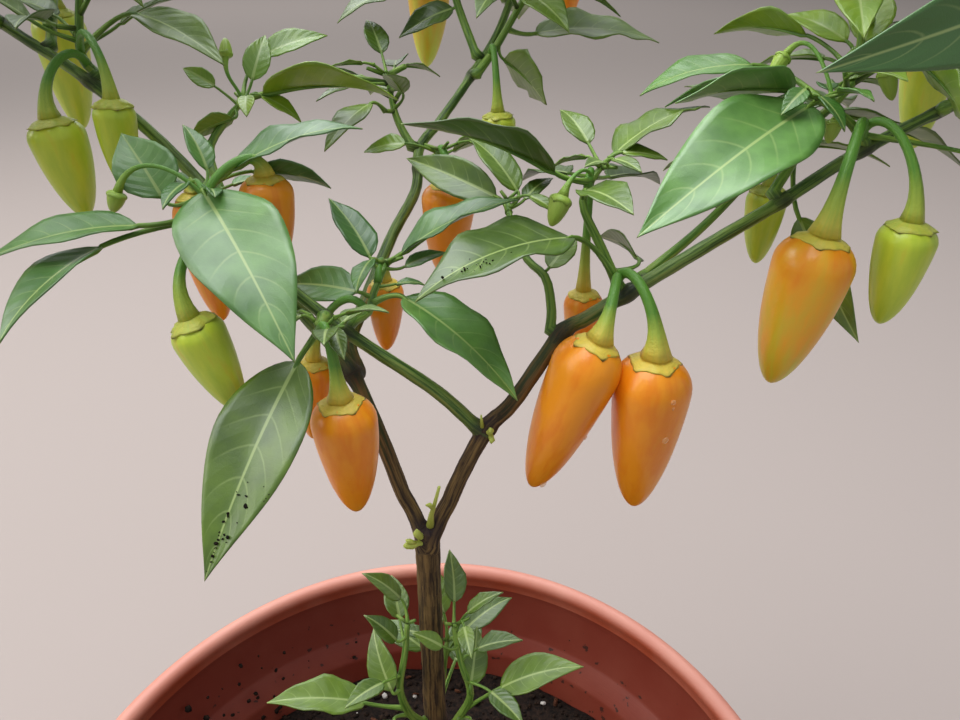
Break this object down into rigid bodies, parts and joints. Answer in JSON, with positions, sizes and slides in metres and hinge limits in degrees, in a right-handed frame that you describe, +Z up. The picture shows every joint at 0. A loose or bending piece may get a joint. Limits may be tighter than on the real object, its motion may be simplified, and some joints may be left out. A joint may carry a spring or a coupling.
{
  "type": "potted chilli pepper plant",
  "caption": "Chilli pepper plant with ripe orange and unripe green fruit, standing in a round terracotta-coloured plastic pot of dark soil.",
  "frame": {"origin": "middle of the pot's flat underside", "axes": "+Z up along the pot's axis, +X to the right of the view in the picture, +Y away from the viewer"},
  "size_m": [0.5095, 0.3846, 0.661],
  "materials": {
    "pot_plastic": "satin",
    "potting_soil": "matte",
    "bark": "matte",
    "green_bark": "satin",
    "leaf": "satin",
    "fruit_skin": "glossy"
  },
  "bodies": {
    "root": {"pot": "pot_plastic", "soil": "potting_soil", "trunk": "bark", "right_bough": "bark", "left_bough": "bark", "middle_bough": "bark", "front_branch": "green_bark", "low_shoot_left": "leaf", "low_shoot_right": "leaf", "low_shoot_back": "leaf", "spray_low_right": "leaf", "spray_fruit_pair": "leaf", "spray_behind_right": "leaf", "spray_upper_right": "leaf", "spray_over_fruit": "leaf", "spray_far_right": "leaf", "spray_right_top": "leaf", "spray_right_end": "leaf", "spray_right_back": "leaf", "spray_right_front": "leaf", "spray_front_fruit": "leaf", "spray_front_knot": "leaf", "spray_front_end": "leaf", "spray_left_behind": "leaf", "spray_left_upper": "leaf", "spray_left_front": "leaf", "spray_left_top": "leaf", "spray_left_end": "leaf", "spray_left_back": "leaf", "spray_middle_low": "leaf", "spray_middle_left": "leaf", "spray_middle_right": "leaf", "spray_middle_top": "leaf", "spray_back_end": "leaf", "spray_back_left": "leaf"}
  },
  "joints": []
}
